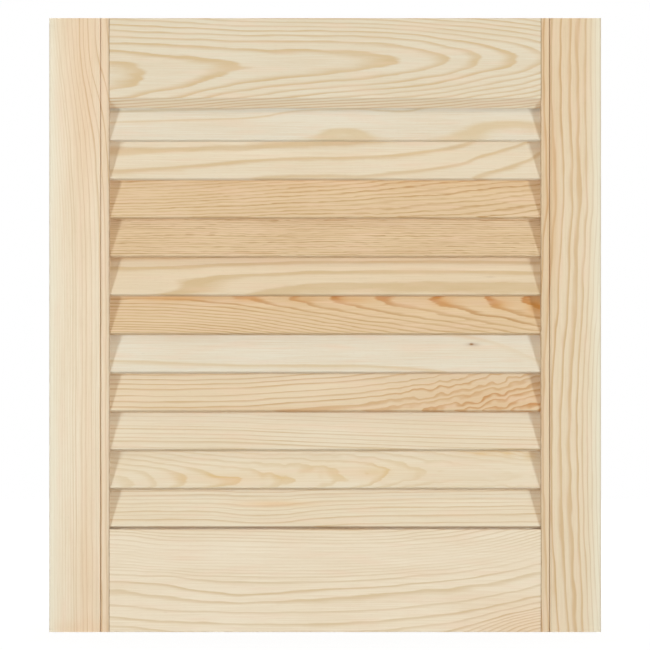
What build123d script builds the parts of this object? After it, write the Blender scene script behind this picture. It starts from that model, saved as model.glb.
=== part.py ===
"""Openwork cabinet door: a pine frame with fixed sloping slats between two stiles and two rails.

Millimetres, +Z up. The front faces -Y. The origin is the middle of the outer edge face of the
left stile, where the door is hinged: X runs from there across the width, Y through the thickness
and Z along the height, with the door half above and half below the origin.
"""

import math
import os

from build123d import *

# Overall size
door_width = 444.0
door_height = 494.0
door_thickness = 21.0

# Frame
stile_width = 48.5
top_rail_height = 64.2
bottom_rail_height = 82.6

# Moulding along the inner edges of the stiles, alike on the front and the back
bead_width = 7.1
bead_inner_round = 1.3
bead_groove_round = 0.5
groove_width = 1.1
groove_depth = 1.3
outer_edge_round = 1.0

# Tapered nose along the slat side of each rail
nose_height = 8.1
nose_bevel_depth = 7.5
nose_tip_width = 0.8
rail_edge_round = 0.4

# Slats
slat_thickness = 5.0
slat_tilt = 21.0
slat_edge_round = 0.8
slat_setback = 2.1
slat_overlap = 3.4
slat_end_gap = 0.9

# Housings that hold the slats in the stiles
housing_depth = 5.0
housing_clearance = 0.15
housing_end_clearance = 0.3

# Dowels that join the rails to the stiles
dowel_diameter = 8.0
dowel_length = 40.0
dowel_chamfer = 0.8
dowel_edge_distance = 18.0
dowel_clearance = 0.05
dowel_end_clearance = 1.0

# Values that follow from the sizes above
front_y = -door_thickness / 2
back_y = door_thickness / 2
top_z = door_height / 2
bottom_z = -door_height / 2
opening_width = door_width - 2 * stile_width
opening_top = top_z - top_rail_height
opening_bottom = bottom_z + bottom_rail_height
match_distance = 1e-3

tilt_sine = math.sin(math.radians(slat_tilt))
tilt_cosine = math.cos(math.radians(slat_tilt))
square_thickness = slat_thickness - 2 * slat_edge_round
slat_depth = door_thickness - 2 * slat_setback
square_width = (slat_depth - 2 * slat_edge_round - square_thickness * tilt_cosine) / tilt_sine
slat_width = square_width + 2 * slat_edge_round
slat_rise = square_width * tilt_cosine + square_thickness * tilt_sine + 2 * slat_edge_round
slat_length = opening_width + 2 * (housing_depth - housing_end_clearance)

slat_travel = opening_top - opening_bottom - 2 * slat_end_gap - slat_rise
slat_spaces = max(1, round(slat_travel / (slat_rise - slat_overlap)))
slat_pitch = slat_travel / slat_spaces
top_slat_z = opening_top - slat_end_gap - slat_rise / 2
slat_heights = [top_slat_z - i * slat_pitch for i in range(slat_spaces + 1)]


def slat_profile(height, clearance=0.0):
    """Cross-section of a slat: its lower edge is at the front and its upper edge at the back."""
    section = RectangleRounded(
        slat_thickness + 2 * clearance,
        slat_width + 2 * clearance,
        slat_edge_round + clearance,
    )
    return Plane.YZ * Pos(0, height) * Rot(0, 0, -slat_tilt) * section


def slat(height):
    """One slat, with its ends in the housings of both stiles."""
    start = stile_width - housing_depth + housing_end_clearance
    return Pos(start, 0, 0) * extrude(slat_profile(height), slat_length)


def dowel_heights(low, high):
    """Heights of the two dowels in the end of a rail that reaches from low to high."""
    return [high - dowel_edge_distance, low + dowel_edge_distance]


rail_dowel_heights = {
    "top": dowel_heights(opening_top, top_z),
    "bottom": dowel_heights(bottom_z, opening_bottom),
}
rail_end_x = {"left": stile_width, "right": door_width - stile_width}


def dowel(x, height):
    """A dowel across the joint between stile and rail, half in each."""
    pin = Cylinder(dowel_diameter / 2, dowel_length, rotation=(0, 90, 0))
    ends = pin.edges().filter_by(GeomType.CIRCLE)
    return Pos(x, 0, height) * chamfer(ends, dowel_chamfer)


def dowel_holes():
    """The drilled holes for all the dowels, a little longer and wider than the dowels."""
    radius = dowel_diameter / 2 + dowel_clearance
    length = dowel_length + 2 * dowel_end_clearance
    drill = Cylinder(radius, length, rotation=(0, 90, 0))
    return [
        Pos(x, 0, height) * drill
        for x in rail_end_x.values()
        for heights in rail_dowel_heights.values()
        for height in heights
    ]


def corners_at(profile, x):
    """The corners of a flat profile that lie at a given X."""
    return profile.vertices().filter_by_position(Axis.X, x - match_distance, x + match_distance)


def stile_profile():
    """Cross-section of the left stile: rounded outer edges, a groove and a bead on each face."""
    board = Pos(stile_width / 2, 0) * Rectangle(stile_width, door_thickness)
    groove_x = stile_width - bead_width
    bead_start = groove_x + groove_width / 2
    for face_y, inward in ((front_y, 1), (back_y, -1)):
        board -= make_face(
            Polyline(
                (groove_x - groove_width / 2, face_y),
                (groove_x, face_y + inward * groove_depth),
                (bead_start, face_y),
                close=True,
            )
        )
    for x, radius in (
        (0, outer_edge_round),
        (bead_start, bead_groove_round),
        (stile_width, bead_inner_round),
    ):
        board = fillet(corners_at(board, x), radius)
    return board


def left_stile():
    """The hinge-side stile, housed for the slats and drilled for the dowels."""
    body = Pos(0, 0, bottom_z) * extrude(stile_profile(), door_height)
    housing_start = stile_width - housing_depth
    for height in slat_heights:
        pocket = extrude(slat_profile(height, housing_clearance), housing_depth)
        body -= Pos(housing_start, 0, 0) * pocket
    for hole in dowel_holes():
        body -= hole
    return body


def right_stile():
    """The free stile: the left one mirrored across the middle of the door."""
    return mirror(left_stile(), Plane.YZ.offset(door_width / 2))


def rail(edge_z, shoulder_z, bevel_y):
    """A rail between the stiles. Its nose points to the slats, bevelled towards bevel_y."""
    toward_slats = math.copysign(1, shoulder_z - edge_z)
    inward = -math.copysign(1, bevel_y)
    tip_z = shoulder_z + toward_slats * nose_height
    tip_y = bevel_y + inward * nose_bevel_depth
    heel_y = tip_y + inward * nose_tip_width
    root_y = heel_y + inward * nose_height * math.tan(math.radians(slat_tilt))
    outline = Polyline(
        (bevel_y, edge_z),
        (bevel_y, shoulder_z),
        (tip_y, tip_z),
        (heel_y, tip_z),
        (root_y, shoulder_z),
        (-bevel_y, shoulder_z),
        (-bevel_y, edge_z),
        close=True,
    )
    body = Pos(stile_width, 0, 0) * extrude(Plane.YZ * make_face(outline), opening_width)
    long_edges = body.edges().filter_by(Axis.X)
    face_edges = long_edges.group_by(Axis.Y)[0] + long_edges.group_by(Axis.Y)[-1]
    body = fillet(face_edges, rail_edge_round)
    for hole in dowel_holes():
        body -= hole
    return body


parts = {
    "left_stile": left_stile(),
    "right_stile": right_stile(),
    "top_rail": rail(top_z, opening_top, front_y),
    "bottom_rail": rail(bottom_z, opening_bottom, back_y),
}
for number, height in enumerate(slat_heights, start=1):
    parts[f"slat_{number:02d}"] = slat(height)
for side, x in rail_end_x.items():
    for level, heights in rail_dowel_heights.items():
        for place, height in zip(("upper", "lower"), heights):
            parts[f"dowel_{level}_{side}_{place}"] = dowel(x, height)

print(f"slats: {len(slat_heights)}, pitch {slat_pitch:.2f}, width {slat_width:.2f}, rise {slat_rise:.2f}")
os.makedirs("parts", exist_ok=True)
for node, shape in parts.items():
    export_step(shape, f"parts/{node}.step")
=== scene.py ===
"""Looks of the openwork cabinet door: bare pine, with its own grain on every board.

The grain is a solid texture. Each board is cut from a log whose growth rings are the distance
from a pith that drifts along the board, so faces, edges and end grain agree.
"""

import math

import bpy
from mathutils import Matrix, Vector


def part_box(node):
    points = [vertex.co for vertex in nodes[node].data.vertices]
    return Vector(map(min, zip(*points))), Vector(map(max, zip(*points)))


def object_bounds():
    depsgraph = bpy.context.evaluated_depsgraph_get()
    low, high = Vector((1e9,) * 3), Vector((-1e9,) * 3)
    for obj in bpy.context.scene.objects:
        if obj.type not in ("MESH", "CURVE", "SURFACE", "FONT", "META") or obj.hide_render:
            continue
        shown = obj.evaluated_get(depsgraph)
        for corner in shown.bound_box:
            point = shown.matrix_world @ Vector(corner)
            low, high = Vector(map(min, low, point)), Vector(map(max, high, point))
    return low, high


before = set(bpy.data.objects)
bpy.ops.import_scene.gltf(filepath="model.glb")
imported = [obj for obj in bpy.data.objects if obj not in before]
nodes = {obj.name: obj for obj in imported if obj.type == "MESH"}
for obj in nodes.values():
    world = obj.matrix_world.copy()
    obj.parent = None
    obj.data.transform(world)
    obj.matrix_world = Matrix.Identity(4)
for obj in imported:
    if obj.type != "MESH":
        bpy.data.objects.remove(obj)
cad_low, cad_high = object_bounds()

MM = 0.001
WHITE = (1.0, 1.0, 1.0, 1.0)


class Signal:
    """A value in a material's node tree, so that grain is written as plain arithmetic."""

    def __init__(self, tree, socket):
        self.tree = tree
        self.socket = socket

    def math(self, operation, *others):
        node = self.tree.nodes.new("ShaderNodeMath")
        node.operation = operation
        for socket, value in zip(node.inputs, (self, *others)):
            feed(socket, value)
        return Signal(self.tree, node.outputs[0])

    def __add__(self, other):
        return self.math("ADD", other)

    def __sub__(self, other):
        return self.math("SUBTRACT", other)

    def __mul__(self, other):
        return self.math("MULTIPLY", other)

    def __truediv__(self, other):
        return self.math("DIVIDE", other)

    def __rsub__(self, other):
        return self * -1.0 + other

    __radd__ = __add__


def feed(socket, value):
    """Link a signal to a socket, or set the socket to a plain value."""
    if isinstance(value, Signal):
        value.tree.links.new(value.socket, socket)
    else:
        socket.default_value = value


def root(x):
    return x.math("SQRT")


def sine(x):
    return x.math("SINE")


def exponential(x):
    return x.math("EXPONENT")


def whole(x):
    return x.math("FLOOR")


def fraction(x):
    return x.math("FRACT")


def ramp(x, start, end):
    """0 before start, 1 after end, and smooth between."""
    node = x.tree.nodes.new("ShaderNodeMapRange")
    node.interpolation_type = "SMOOTHSTEP"
    feed(node.inputs["Value"], x)
    node.inputs["From Min"].default_value = start
    node.inputs["From Max"].default_value = end
    return Signal(x.tree, node.outputs["Result"])


def noise(x, y, z, detail=0.0):
    """Smooth noise from 0 to 1 at a point."""
    combined = x.tree.nodes.new("ShaderNodeCombineXYZ")
    for socket, value in zip(combined.inputs, (x, y, z)):
        feed(socket, value)
    node = x.tree.nodes.new("ShaderNodeTexNoise")
    node.inputs["Scale"].default_value = 1.0
    node.inputs["Detail"].default_value = detail
    x.tree.links.new(combined.outputs[0], node.inputs["Vector"])
    return Signal(x.tree, node.outputs["Fac"])


def srgb(red, green, blue):
    """A colour written as screen values from 0 to 255, in linear light by the sRGB standard."""
    def linear(value):
        value /= 255.0
        return value / 12.92 if value <= 0.04045 else ((value + 0.055) / 1.055) ** 2.4

    return (linear(red), linear(green), linear(blue), 1.0)


def blend(amount, first, second):
    """A colour that goes from first to second as the amount goes from 0 to 1."""
    node = amount.tree.nodes.new("ShaderNodeMix")
    node.data_type = "RGBA"
    feed(node.inputs["Factor"], amount)
    colours = [socket for socket in node.inputs if socket.type == "RGBA"]
    for socket, colour in zip(colours, (first, second)):
        feed(socket, colour)
    output = [socket for socket in node.outputs if socket.type == "RGBA"][0]
    return Signal(amount.tree, output)


def curve(x, points):
    """A smooth line through the points, level beyond them. A plain number if they are all level."""
    points = sorted(points)
    low_x, high_x = points[0][0], points[-1][0]
    values = [value for _, value in points]
    low_y, high_y = min(values), max(values)
    if low_y == high_y:
        return low_y
    spots = [((a - low_x) / (high_x - low_x), (b - low_y) / (high_y - low_y)) for a, b in points]
    node = x.tree.nodes.new("ShaderNodeFloatCurve")
    node.mapping.extend = "HORIZONTAL"
    line = node.mapping.curves[0].points
    line[0].location = spots[0]
    line[1].location = spots[-1]
    for spot in spots[1:-1]:
        line.new(*spot)
    node.mapping.update()
    feed(node.inputs["Value"], (x - low_x) / (high_x - low_x))
    return Signal(x.tree, node.outputs["Value"]) * (high_y - low_y) + low_y


# Grain of a board, at points given as millimetres along it, across it and into it
ALONG, ACROSS, DEPTH = range(3)

# Patterns in the wood: length and width in millimetres, detail, and the axis that a seed moves
DRIFT = (70.0, 11.0, 0.0, ACROSS)
WAVE = (24.0, 5.0, 0.0, DEPTH)
JAG = (9.0, 0.9, 0.0, ALONG)
CURL = (12.0, 14.0, 1.0, ACROSS)
PATCH = (55.0, 9.0, 1.0, DEPTH)
STREAK = (60.0, 0.8, 2.0, ALONG)
CLOUD = (90.0, 14.0, 0.0, ACROSS)
FINE = (14.0, 0.28, 1.0, DEPTH)
BLOOM = (45.0, 7.0, 1.0, ACROSS)
CANAL = (5.0, 0.22, 0.0, ALONG)
MIDDLE = 0.5

# Where in a pattern's values the resin canals show, and the worn stretches of an arris
CANAL_RANGE = (0.7, 0.8)
WORN_RANGE = (0.3, 0.7)
WORN_LENGTH = 6.0
WORN_DEPTH = 3.0
WORN_DETAIL = 1.0

# How much of the fibre colour shows between the streaks
BASE_SHADE = 0.15

# Numbers that scatter a value from 0 to 1 for each ring
HASH_STEP = 12.9898
HASH_SCALE = 437.585

# How far rings go on beyond those that are listed, in millimetres and in rings
RING_REACH = 60.0
RING_REACH_COUNT = 20.0


def pattern(kind, board, point):
    """One of the patterns above at a point, from 0 to 1."""
    length, width, detail, seeded = kind
    along, across, depth = point
    spot = [along / length, across / width, depth / width]
    spot[seeded] = spot[seeded] + board["seed"]
    return noise(*spot, detail)


def swing(kind, board, point):
    """The same less its middle value, so that it goes both ways."""
    return pattern(kind, board, point) - MIDDLE


def mound(along, across, place):
    """A smooth hump from 1 at its middle to 0: place gives its middle and its reach each way."""
    u, v, reach_u, reach_v = place
    far_u = (along - u) / reach_u
    far_v = (across - v) / reach_v
    return exponential((far_u * far_u + far_v * far_v) * -1.0)


def patches(along, across, places):
    """The sum of several mounds, each with its amount as the last value."""
    total = 0.0
    for *place, amount in places:
        total = mound(along, across, place) * amount + total
    return total


def ring_count(board, distance):
    """Rings passed at a distance from the pith's line: evenly spaced, or listed one by one."""
    if "rings" not in board:
        return distance / board["ring_width"]
    start = board["centre"][0][1]
    deep = board["roundness"][0][1]
    points = []
    for number, (late, edge) in enumerate(board["rings"]):
        points.append((math.hypot(late - start, deep) - deep, number + 0.5))
        points.append((math.hypot(edge - start, deep) - deep, number + 1.0))
    first, last = points[0], points[-1]
    points.append((first[0] - RING_REACH, first[1] - RING_REACH_COUNT))
    points.append((last[0] + RING_REACH, last[1] + RING_REACH_COUNT))
    return curve(distance, points)


def growth(board, point):
    """Ring number at a point, counted outwards from the pith's line."""
    along, across, depth = point
    deep = curve(along, board["roundness"])
    sideways = across - curve(along, board["centre"])
    inward = depth + deep
    distance = root(sideways * sideways + inward * inward) - deep
    distance = patches(along, across, board["swells"]) + distance
    rings = ring_count(board, distance)
    if "count" in board:
        rings = rings + curve(along, board["count"])
    rings = rings + swing(DRIFT, board, point) * board["wander"]
    rings = rings + swing(WAVE, board, point) * board["waver"]
    rings = rings + swing(JAG, board, point) * board["jag"]
    if "curl" in board:
        start, end, amount = board["curl"]
        rings = rings + swing(CURL, board, point) * ramp(along, start, end) * amount
    return rings


def latewood(board, rings):
    """0 in pale early wood and up to 1 in the dark late wood that ends each ring."""
    number = whole(rings)
    step = rings - number
    luck = fraction(sine(number * HASH_STEP + board["seed"]) * HASH_SCALE)
    onset, peak, edge = board["band"]
    band = ramp(step, onset, peak) * (1.0 - ramp(step, 1.0 - edge, 1.0))
    return band * (luck * board["uneven"] + (1.0 - board["uneven"]))


def pine_colour(board, point):
    """Colour of bare pine at a point, with some shade painted in, and how much late wood, fibre and
    resin canal is there.
    """
    along, across, depth = point
    late = latewood(board, growth(board, point))
    patch = pattern(PATCH, board, point)
    late = late * (patch / MIDDLE * board["patchy"] + (1.0 - board["patchy"]))
    if "calm" in board:
        late = late * (1.0 - patches(along, across, board["calm"]))
    early, dark = board["early"], board["late"]
    # Warm and deep patches: the wood's own tone, but painted shade on the top rail's bevel, the
    # bottom rail's top edge and the stiles' upper ends
    if "blush" in board:
        amount = patches(along, across, board["blush"])
        early = blend(amount, early, board["warm"])
        dark = blend(amount, dark, board["deep"])
    colour = blend(late, early, dark)
    fine = swing(FINE, board, point)
    shade = swing(STREAK, board, point) * board["streaks"]
    shade = shade + swing(CLOUD, board, point) * board["clouds"]
    shade = shade + fine * board["fine"] + BASE_SHADE
    colour = blend(shade, colour, board["fibre"])
    colour = blend(swing(BLOOM, board, point) * board["rosy"], colour, ROSY)
    canal = ramp(pattern(CANAL, board, point), *CANAL_RANGE)
    colour = blend(canal * board["canals"], colour, board["knot"])
    if "knots" in board:
        colour = blend(patches(along, across, board["knots"]), colour, board["knot"])
    if "seams" in board:
        colour = blend(patches(across, depth, board["sapwood"]), colour, SAPWOOD)
        # Painted shade in the knot tone: a stile's groove and its edges are darkened
        colour = blend(patches(across, depth, board["seams"]), colour, board["knot"])
        wear = noise(along / WORN_LENGTH, board["seed"], depth / WORN_DEPTH, WORN_DETAIL)
        edge = patches(across, depth, board["arris"]) * ramp(wear, *WORN_RANGE)
        colour = blend(edge, colour, board["knot"])
    return colour, late, fine, canal


# Tones of pine as screen values, typed next to the mean colours of the photo's boards.
# Early wood, from the palest sapwood to honey
CHALK = (228, 218, 203)
CREAM = (236, 220, 200)
IVORY = (230, 216, 196)
LINEN = (224, 211, 192)
STRAW = (228, 209, 184)
HONEY = (225, 199, 166)

# Late wood
WHEAT = (218, 198, 168)
SAND = (215, 190, 156)
TAN = (210, 183, 146)
NUT = (202, 165, 122)
AMBER = (194, 154, 108)
UMBER = (184, 147, 105)

# Stained stretches, painted shade, resin and knots
SHELL = (231, 213, 188)
ROSE = (232, 205, 178)
PEACH = (227, 198, 160)
BUFF = (220, 190, 156)
CLAY = (211, 172, 135)
GOLD = (218, 185, 135)
BRONZE = (203, 156, 112)
COPPER = (196, 140, 88)
ORANGE = (210, 150, 76)
RESIN = (193, 118, 44)
BARK = (140, 104, 62)

# Fibres and knots where a board names no others, a stile's pale outer edge, and rosy patches
FLAX = (210, 180, 140)
WALNUT = (150, 108, 66)
SAPWOOD = srgb(234, 228, 211)
ROSY = srgb(232, 200, 176)

# Dowels
BISCUIT = (219, 186, 148)
TOAST = (198, 160, 120)
HUSK = (190, 150, 110)

# What holds for a board that doesn't say otherwise
COMMON = {
    "band": (0.4, 0.85, 0.12),
    "uneven": 0.35,
    "patchy": 0.4,
    "wander": 0.4,
    "waver": 0.15,
    "jag": 0.08,
    "streaks": 0.8,
    "clouds": 0.3,
    "fine": 0.4,
    "canals": 0.12,
    "rosy": 1.2,
    "fibre": FLAX,
    "knot": WALNUT,
    "swells": (),
    "roundness": [(0, 12), (500, 12)],
}
TONES = ("early", "late", "warm", "deep", "fibre", "knot")


def grain(**words):
    """Grain of one board, with its tones in linear light. Places and widths are in millimetres.

    early, late: tones of early and late wood. warm, deep: the same where the board blushes.
    centre, roundness: the pith's height across the board and its depth behind it, by place along.
    ring_width, rings: the width of even rings, or where the late wood of each starts and ends.
    count: rings added, by place along. curl: where the rings turn curly, from, to and how much.
    band: where in a ring late wood starts and is full, and the width of its sharp outer edge.
    uneven, patchy: how much late wood differs from ring to ring and from stretch to stretch.
    wander, waver, jag: by how many rings the lines stray: slowly, in waves and between fibres.
    streaks, clouds, fine, rosy, canals: how much each of these shows.
    swells, calm, blush, knots: mounds along and across the board. They push the rings, fade late
    wood, turn early and late to warm and deep, or stain the wood with the tone called knot. Most
    warm and deep patches are the wood's own tone; those on the top rail's bevel, along the bottom
    rail's top edge and over the stiles' upper ends are painted shade.
    sapwood, seams, arris: mounds across and into a stile, for its pale outer edge, painted shade in
    its groove and along its edges, and its worn inner arris.
    """
    known = {**COMMON, **words}
    for tone in TONES:
        if tone in known:
            known[tone] = srgb(*known[tone])
    return known


def shifted(base, pairs):
    """The pith's line: at each place along, a base height plus how far it rises there."""
    return [(u, base + shift) for u, shift in pairs]


def even(start, stop, step, late=0.5):
    """Rings of equal width. late is the share of each that is late wood."""
    edges = []
    while start < stop:
        edges.append((start - step * late, start))
        start += step
    return edges


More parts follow.
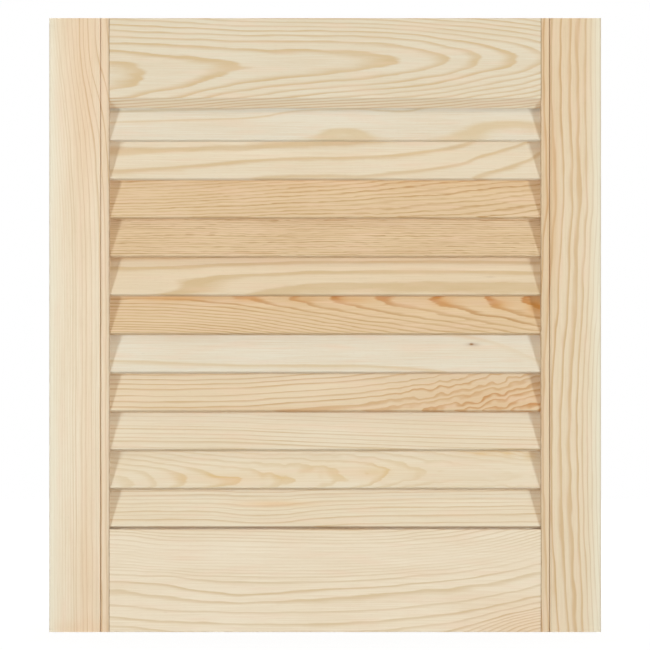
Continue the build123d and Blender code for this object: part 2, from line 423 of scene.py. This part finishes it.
boards = {
    "top_rail": grain(
        seed=3.1, early=LINEN, late=TAN,
        centre=[(0, 24), (49, 26), (86, 27.5), (162, 33), (276, 37), (319, 37.5), (348, 39),
                (380, 39.5), (444, 44)],
        roundness=[(0, 45), (86, 42), (162, 28), (276, 22), (348, 21), (444, 20)],
        count=[(0, 7.9), (49, 8.4), (86, 9), (162, 10), (276, 11), (319, 12), (348, 13), (380, 14),
               (402, 15), (444, 16.6)],
        ring_width=3.0, uneven=0.3, wander=0.3, waver=0.3,
        swells=[(230, 56, 110, 14, -2.0)],
        # Painted shade: the bevel along the rail's lower edge is warmer and darker
        blush=[(222, 3, 900, 5, 1.0)], warm=SHELL, deep=CLAY,
    ),
    "bottom_rail": grain(
        seed=5.7, early=CREAM, late=SAND,
        centre=shifted(-60, [(0, 0), (49, 0), (65, -1), (80, -3), (100, -4.5), (130, -5), (180, -5.5),
                             (220, -5.5), (270, -3.5), (300, -0.5), (320, 1), (350, 5), (375, 10),
                             (395, 15), (444, 26)]),
        roundness=[(0, 25), (444, 25)],
        rings=even(-40, -1, 3.0) + [(-2.5, 0), (3.5, 6), (10, 13), (20.5, 23), (30, 34.5), (39, 41),
                                    (45, 47)]
        + even(50.5, 72, 2.6) + [(73.5, 75), (77.5, 79), (80.5, 81.5), (83, 84), (86, 87)],
        swells=[(155, 28, 55, 9, 5.0), (92, 42, 22, 10, -3.0), (390, 5, 45, 18, -10.0),
                (290, 75, 80, 15, 3.0)],
        calm=[(190, 62, 320, 13, 0.85)],
        # The second patch is painted shade along the top edge, by the gap under the lowest slat
        blush=[(385, 6, 46, 20, 0.8), (240, 84, 200, 3, 0.6)],
        warm=ROSE, deep=CLAY, wander=0.25, waver=0.35,
    ),
    "slat_01": grain(
        seed=2.3, early=CHALK, late=WHEAT,
        centre=shifted(-60, [(0, -2), (49, 0), (100, 2), (140, 3), (170, 5), (190, 9), (210, 11),
                             (240, 12), (270, 10.5), (285, 10), (300, 12), (320, 14), (345, 17),
                             (380, 20), (444, 24)]),
        rings=[(-50, -40), (-24, -11), (12, 14), (21, 24), (31, 34), (42, 45)],
        swells=[(238, 7, 26, 8, -13.0), (365, 11, 42, 12, -11.0)],
        band=(0.4, 0.65, 0.25), wander=0.1, waver=0.15, uneven=0.1,
    ),
    "slat_02": grain(
        seed=7.9, early=IVORY, late=SAND,
        centre=shifted(-60, [(0, -2), (49, 0), (100, 3), (140, 7), (180, 11), (220, 12), (260, 12.5),
                             (300, 17), (330, 22), (345, 28), (360, 33), (385, 42), (395, 48),
                             (444, 70)]),
        rings=[(-55, -50), (-31, -26), (-14, -10), (2, 7), (18, 27), (40, 46), (54, 60)],
        swells=[(180, 31, 90, 10, 7.0)], band=(0.4, 0.65, 0.2), wander=0.1, waver=0.2, uneven=0.1,
    ),
    "slat_03": grain(
        seed=1.2, early=HONEY, late=AMBER,
        centre=shifted(-40, [(0, 0), (49, 0), (100, 1.5), (160, 4), (220, 7), (300, 11), (395, 17),
                             (444, 20)]),
        ring_width=2.6, swells=[(330, 0, 120, 10, 6.0), (330, 36, 150, 14, -7.0)],
        band=(0.45, 0.8, 0.2), uneven=0.6, waver=0.5, jag=0.4, wander=0.8, patchy=0.6,
        blush=[(300, 32, 190, 9, 0.9)], warm=PEACH, deep=COPPER,
        fibre=AMBER, streaks=1.0,
    ),
    "slat_04": grain(
        seed=4.4, early=HONEY, late=UMBER,
        centre=[(0, -60), (444, -60)], ring_width=1.9, uneven=0.7, wander=1.2, waver=0.7, jag=0.7,
        fine=0.7, fibre=AMBER, streaks=1.1,
        knots=[(160, 2.6, 22, 0.7, 0.25), (102, 2.8, 8, 0.7, 0.2), (290, 3.0, 14, 0.7, 0.15)],
        knot=COPPER,
    ),
    "slat_05": grain(
        seed=6.6, early=STRAW, late=TAN,
        centre=shifted(-60, [(0, -1), (49, 0), (100, 1), (140, 2.5), (180, 4), (260, 5.5), (395, 4.5),
                             (444, 4)]),
        rings=[(-24, -16), (-6, 5.8), (11, 14.8), (20, 23.5), (28, 31), (35, 37)],
        swells=[(60, 0, 85, 12, 17.0), (150, 0, 35, 8, 5.0)],
        band=(0.35, 0.7, 0.15), wander=0.1, waver=0.2, uneven=0.1,
        blush=[(250, 33, 400, 7, 0.6)], warm=BUFF, deep=CLAY,
        fibre=TAN, streaks=0.9,
        knots=[(355, 15, 4, 0.5, 0.25)],
    ),
    "slat_06": grain(
        seed=8.8, early=HONEY, late=AMBER,
        centre=[(0, 35), (60, 35), (120, 33), (200, 30.5), (300, 29.5), (444, 29)],
        roundness=[(0, 10), (60, 10), (140, 12), (220, 22), (300, 36), (392, 50), (444, 55)],
        count=[(0, 10.1), (60, 10.1), (110, 10.2), (143, 10), (190, 9), (224, 8), (262, 7), (308, 6),
               (348, 5), (381, 4), (444, 2)],
        ring_width=2.2, band=(0.5, 0.82, 0.1), uneven=0.45, wander=0.4, waver=0.5, jag=0.15,
        blush=[(310, 31, 190, 9, 1.1), (395, 24, 25, 12, 0.4)], warm=PEACH, deep=RESIN,
        fibre=AMBER, streaks=0.9,
        knots=[(100, 30, 36, 2.4, 0.5), (160, 29, 13, 2.5, 0.35), (206, 29, 14, 3, 0.35),
               (245, 28.5, 14, 3, 0.35), (318, 27, 9, 5, 0.4), (364, 25, 9, 5, 0.35),
               (393, 24, 8, 9, 0.7)],
        knot=ORANGE,
    ),
    "slat_07": grain(
        seed=9.5, early=CHALK, late=WHEAT,
        centre=shifted(-60, [(0, 1), (49, 0), (100, -2), (140, -3.5), (180, -4), (220, -4), (300, -5),
                             (392, -8), (444, -10)]),
        rings=[(-12, -10), (8.5, 12), (40, 44), (58, 64)], swells=[(455, 0, 92, 48, 38.0)],
        calm=[(385, 20, 55, 22, 0.7)],
        band=(0.35, 0.7, 0.2), wander=0.05, waver=0.1, patchy=0.3, uneven=0.1,
        knots=[(341, 23.3, 5.5, 1.5, 0.4), (340, 23.6, 1.5, 0.9, 0.75)],
    ),
    "slat_08": grain(
        seed=1.9, early=STRAW, late=NUT,
        centre=shifted(-60, [(0, 0), (49, 0), (120, 0), (160, 1), (200, 4), (240, 7), (280, 12),
                             (320, 18), (360, 28), (395, 38), (444, 52)]),
        rings=even(-58, -0.5, 5.6, 0.7)
        + [(1.5, 3.5), (6, 8), (11.5, 13), (17, 19), (21.5, 23), (25.5, 27), (29.5, 31), (34, 36),
           (38, 40)],
        curl=(235, 320, 1.7), wander=0.3, waver=0.3,
        blush=[(372, 8, 100, 22, 1.0), (190, 0, 90, 3, 0.8)], warm=BUFF, deep=COPPER,
    ),
    "slat_09": grain(
        seed=2.8, early=IVORY, late=TAN,
        centre=shifted(-60, [(0, 0), (49, 0), (140, -1), (180, -3), (240, -5), (300, -7.5), (350, -9),
                             (392, -10), (444, -11)]),
        rings=[(-9, -7.5), (-5, -3.5), (0.8, 2.2), (5.5, 7.5), (9.3, 10.2), (13, 13.8), (16.6, 17.8),
               (19.5, 20), (24, 24.6), (28, 28.7), (31, 32), (36, 37), (40, 41)],
        uneven=0.5, calm=[(300, 30, 300, 8, 0.6)], waver=0.2, streaks=0.7,
    ),
    "slat_10": grain(
        seed=3.6, early=IVORY, late=WHEAT,
        centre=[(0, 2), (60, 3), (90, 5), (150, 6), (200, 8), (270, 12), (310, 14), (444, 14)],
        roundness=[(0, 25), (444, 25)], ring_width=2.5,
        count=[(0, -1), (70, 1), (90, 2), (114, 3), (153, 4), (200, 5), (252, 6), (276, 7), (307, 8),
               (345, 8.35), (444, 8.5)],
        swells=[(400, 36, 50, 16, 8.0)], waver=0.5, jag=0.15,
        calm=[(352, 14, 38, 13, 0.85)],
        blush=[(145, 8, 50, 6, 1.0), (250, 13, 55, 8, 0.8), (360, 31, 30, 6, 1.0)],
        warm=SHELL, deep=GOLD, curl=(90, 220, 0.9),
        knots=[(348, 29, 7, 2.2, 0.5), (369, 29, 4, 2.5, 0.5), (387, 27, 5, 3, 0.5),
               (186, 9, 5, 2, 0.3), (262, 13, 10, 3, 0.4)],
        knot=GOLD,
    ),
    "slat_11": grain(
        seed=4.9, early=IVORY, late=TAN,
        centre=shifted(-60, [(0, 0), (49, 0), (120, 0), (140, -1), (175, -3), (200, -1), (220, 1),
                             (260, 3), (330, 4), (392, 5), (444, 5)]),
        rings=[(-20, -18), (-14, -12), (-8, -6), (-1.5, 0), (4.5, 6.5), (9, 9.8), (11.5, 13),
               (15.5, 16.3), (18, 20), (22.4, 23), (24.7, 26.5), (29, 30), (33, 34), (37, 38)],
        swells=[(175, 25, 40, 9, -3.0)], uneven=0.5, waver=0.3,
        blush=[(182, 19, 30, 2.6, 0.9)], warm=PEACH, deep=CLAY,
    ),
    "left_stile": grain(
        seed=6.1, early=CREAM, late=SAND,
        centre=shifted(-60, [(0, 1), (150, 0), (280, 0), (330, -1), (370, -3), (400, -5), (430, -8),
                             (460, -12), (494, -15)]),
        rings=even(-30, 24, 2.2) + [(26, 28), (30, 31), (34.5, 35.5), (38, 39), (41, 43), (46, 47),
                                    (51, 52), (57, 58), (63, 64), (70, 71)],
        swells=[(470, 34, 50, 12, 6.0)], uneven=0.6, wander=0.3, waver=0.3,
        calm=[(200, 6, 500, 13, 0.6)],
        # The first patch is painted shade, darkening the stile's upper end
        blush=[(500, 20, 110, 45, 0.35), (430, 28, 110, 14, 0.7), (30, 32, 80, 12, 0.5),
               (2, 20, 8, 40, 0.6), (150, 30, 300, 6, 0.4), (250, 45, 900, 4, 0.6)],
        warm=ROSE, deep=CLAY,
        sapwood=[(-1.0, 8.0, 7.0, 40.0, 0.62)],
        # Painted shade in the groove and along the stile's edges
        seams=[(41.4, 0.6, 0.4, 1.6, 0.12), (48.5, 0.4, 0.5, 1.4, 0.3), (47.5, 0.0, 1.1, 2.0, 0.14),
               (0.4, 0.0, 0.8, 1.0, 0.12)],
        arris=[(48.6, 0.8, 0.7, 1.2, 0.6)], knot=BARK,
    ),
    "right_stile": grain(
        seed=7.3, early=STRAW, late=NUT,
        centre=shifted(-60, [(0, 1), (20, 0), (60, -2), (100, -3.5), (180, -4), (230, -2), (260, 0),
                             (300, 1.5), (330, 3), (350, 4), (400, 3.3), (440, 2.5), (494, 2.8)]),
        rings=[(-12, -10), (-6, -4), (0, 2), (5.5, 8), (13, 15.5), (20.5, 23.5), (26, 30), (33, 35.5),
               (38, 39.5), (42, 43), (45.5, 46.5), (49, 50), (54, 55)],
        swells=[(120, 14, 90, 7, 1.5), (350, 12, 50, 8, -2.0)], band=(0.35, 0.8, 0.16),
        uneven=0.35, wander=0.25, waver=0.45,
        # The first patch is painted shade, darkening the stile's upper end
        blush=[(510, 28, 140, 45, 0.45), (340, 10, 80, 5, 1.0), (250, 3, 500, 5, 0.6)],
        warm=BUFF, deep=BRONZE,
        sapwood=[(49.5, 8.0, 9.0, 40.0, 0.7)],
        # Painted shade in the groove and along the stile's edges
        seams=[(7.1, 0.6, 0.4, 1.6, 0.2), (8.6, 0.0, 0.5, 1.0, 0.15), (0.0, 0.4, 0.5, 1.4, 0.4),
               (2.1, 0.0, 0.6, 2.0, 0.1), (48.0, 0.0, 0.9, 1.0, 0.2)],
        arris=[(-0.1, 0.8, 0.7, 1.2, 0.6)], knot=BARK,
    ),
}

# The dowels are hidden, so they are plain
DOWEL = grain(
    seed=4.7, early=BISCUIT, late=TOAST, fibre=HUSK, centre=[(0, -40), (444, -40)],
    ring_width=1.1, jag=0.3,
)

# Surface of planed pine, and what late wood, single fibres and canals add. Relief is in millimetres
ROUGHNESS = 0.62
LATE_ROUGHNESS = -0.08
FINE_ROUGHNESS = 0.25
CANAL_ROUGHNESS = 0.1
LATE_HEIGHT = 0.5
FINE_HEIGHT = 0.8
CANAL_HEIGHT = -0.6
RELIEF = 0.12
RELIEF_STRENGTH = 0.35
SPECULAR = 0.3


def pine(name, board, place):
    """Bare planed wood for one board. place gives millimetres along, across and into it."""
    material = bpy.data.materials.new(name)
    material.use_nodes = True
    tree = material.node_tree
    shader = tree.nodes["Principled BSDF"]
    coordinates = tree.nodes.new("ShaderNodeTexCoord")
    split = tree.nodes.new("ShaderNodeSeparateXYZ")
    tree.links.new(coordinates.outputs["Object"], split.inputs[0])
    x, y, z = (Signal(tree, socket) * (1 / MM) for socket in split.outputs)
    colour, late, fine, canal = pine_colour(board, place(x, y, z))
    roughness = late * LATE_ROUGHNESS + fine * FINE_ROUGHNESS + canal * CANAL_ROUGHNESS + ROUGHNESS
    height = late * LATE_HEIGHT + fine * FINE_HEIGHT + canal * CANAL_HEIGHT
    bump = tree.nodes.new("ShaderNodeBump")
    bump.inputs["Strength"].default_value = RELIEF_STRENGTH
    bump.inputs["Distance"].default_value = RELIEF * MM
    feed(bump.inputs["Height"], height)
    feed(shader.inputs["Base Color"], colour)
    feed(shader.inputs["Roughness"], roughness)
    shader.inputs["Specular IOR Level"].default_value = SPECULAR
    tree.links.new(bump.outputs["Normal"], shader.inputs["Normal"])
    return material


# Places on the boards, in millimetres. The slat's sizes are those of part.py
SLAT_TILT = math.radians(21.0)
SLAT_WIDTH = 35.16
SLAT_THICKNESS = 5.0

tilt_cosine = math.cos(SLAT_TILT)
tilt_sine = math.sin(SLAT_TILT)
door_low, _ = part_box("left_stile")
base_z = door_low.z / MM
front_y = door_low.y / MM


def rail_place(low):
    """A board along X, with across measured up from its lower edge."""
    def place(x, y, z):
        return x, z - low, y - front_y

    return place


def stile_place(edge):
    """A board along Z, with across measured to the right from its left edge."""
    def place(x, y, z):
        return z - base_z, x - edge, y - front_y

    return place


def slat_place(middle):
    """A sloping slat, with across measured from its lower front edge up to its back edge."""
    def place(x, y, z):
        rise = z - middle
        across = rise * tilt_cosine + y * tilt_sine + SLAT_WIDTH / 2
        return x, across, y * tilt_cosine - rise * tilt_sine + SLAT_THICKNESS / 2

    return place


for node, thing in nodes.items():
    low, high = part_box(node)
    if "stile" in node:
        place = stile_place(low.x / MM)
    elif "slat" in node:
        place = slat_place((low.z + high.z) / 2 / MM)
    else:
        place = rail_place(low.z / MM)
    material = pine(node, boards.get(node, DOWEL), place)
    thing.data.materials.clear()
    thing.data.materials.append(material)

# Camera, straight on and far enough away to match the photo's flat view
PHOTO_PIXELS = 650
MM_PER_PIXEL = 0.8046
DOOR_CENTRE_PIXEL = (325.13, 325.09)
CAMERA_DISTANCE = 4.0
SENSOR = 36.0

centre = (cad_low + cad_high) / 2
pixel = MM_PER_PIXEL * MM
half_frame = PHOTO_PIXELS / 2
camera_data = bpy.data.cameras.new("camera")
camera_data.sensor_width = SENSOR
camera_data.lens = SENSOR * CAMERA_DISTANCE / (PHOTO_PIXELS * pixel)
camera = bpy.data.objects.new("camera", camera_data)
bpy.context.scene.collection.objects.link(camera)
camera.location = (
    centre.x - (DOOR_CENTRE_PIXEL[0] - half_frame) * pixel,
    cad_low.y - CAMERA_DISTANCE,
    centre.z + (DOOR_CENTRE_PIXEL[1] - half_frame) * pixel,
)
camera.rotation_euler = (math.radians(90.0), 0.0, 0.0)
bpy.context.scene.camera = camera


def softbox(name, position, size, power, colour=WHITE[:3]):
    """A rectangular area lamp that faces the middle of the door, in metres and watts."""
    lamp = bpy.data.lights.new(name, "AREA")
    lamp.shape = "RECTANGLE"
    lamp.size, lamp.size_y = size
    lamp.energy = power
    lamp.color = colour
    thing = bpy.data.objects.new(name, lamp)
    bpy.context.scene.collection.objects.link(thing)
    thing.location = position
    thing.rotation_euler = (centre - Vector(position)).to_track_quat("-Z", "Y").to_euler()


# Lamps. The photo's shadows are warm, so the side lamps are cool and what fills the shadows is warm
COOL = (0.77, 0.925, 1.0)
WARM = (1.0, 0.84, 0.62)
SIDE_ANGLE = math.radians(41.0)
SIDE_REACH = 2.4
SIDE_HEIGHT = 0.05
SIDE_SIZE = (0.4, 0.5)
SIDE_POWER = 28.0

side_x = SIDE_REACH * math.sin(SIDE_ANGLE)
side_y = -SIDE_REACH * math.cos(SIDE_ANGLE)
softbox("lamp_left", (centre.x - side_x, side_y, SIDE_HEIGHT), SIDE_SIZE, SIDE_POWER, COOL)
softbox("lamp_right", (centre.x + side_x, side_y, SIDE_HEIGHT), SIDE_SIZE, SIDE_POWER, COOL)
softbox("lamp_high", position=(centre.x, -2.2, 2.3), size=(1.4, 0.5), power=8.0, colour=WARM)
softbox("lamp_low", position=(centre.x, -1.4, -0.15), size=(1.6, 0.12), power=0.5)
softbox("lamp_back", position=(centre.x, 2.4, 1.4), size=(1.2, 1.2), power=30.0)


def seen_by_camera(tree):
    """1 for what the camera sees, also in a reflection or through glass, and 0 for other light."""
    path = tree.nodes.new("ShaderNodeLightPath")
    seen = Signal(tree, path.outputs["Is Camera Ray"])
    for ray in ("Is Glossy Ray", "Is Transmission Ray"):
        seen = seen.math("MAXIMUM", Signal(tree, path.outputs[ray]))
    return seen


# Sky: white where it is seen, and a dim warm fill as light
SKY_LIGHT = 0.38
SKY_TINT = (1.0, 0.7, 0.36, 1.0)

world = bpy.data.worlds.new("world")
bpy.context.scene.world = world
world.use_nodes = True
background = world.node_tree.nodes["Background"]
seen = seen_by_camera(world.node_tree)
feed(background.inputs["Color"], blend(seen, SKY_TINT, WHITE))
feed(background.inputs["Strength"], seen * (1.0 - SKY_LIGHT) + SKY_LIGHT)

# Floor: where it is seen it glows white, and near the door a little of its shading shows too
FLOOR_SIZE = 6.0
FLOOR_COLOUR = (0.45, 0.45, 0.45, 1.0)
FLOOR_GLOW = 1.08
GLOW_SHARE = 0.88
GLOW_RANGE = (0.1, 0.7)

bpy.ops.mesh.primitive_plane_add(size=FLOOR_SIZE, location=(centre.x, 0.0, cad_low.z))
floor = bpy.context.object
floor.name = "floor"
floor_material = bpy.data.materials.new("floor")
floor_material.use_nodes = True
tree = floor_material.node_tree
matt = tree.nodes["Principled BSDF"]
matt.inputs["Base Color"].default_value = FLOOR_COLOUR
matt.inputs["Roughness"].default_value = 1.0
glow = tree.nodes.new("ShaderNodeEmission")
glow.inputs["Strength"].default_value = FLOOR_GLOW
coordinates = tree.nodes.new("ShaderNodeTexCoord")
split = tree.nodes.new("ShaderNodeSeparateXYZ")
tree.links.new(coordinates.outputs["Object"], split.inputs[0])
floor_x, floor_y, _ = (Signal(tree, socket) for socket in split.outputs)
away = root(floor_x * floor_x + floor_y * floor_y)
share = ramp(away, *GLOW_RANGE) * (1.0 - GLOW_SHARE) + GLOW_SHARE
mixer = tree.nodes.new("ShaderNodeMixShader")
feed(mixer.inputs["Fac"], seen_by_camera(tree) * share)
tree.links.new(matt.outputs[0], mixer.inputs[1])
tree.links.new(glow.outputs[0], mixer.inputs[2])
tree.links.new(mixer.outputs[0], tree.nodes["Material Output"].inputs["Surface"])
floor.data.materials.append(floor_material)

bpy.context.scene.view_settings.view_transform = "Standard"
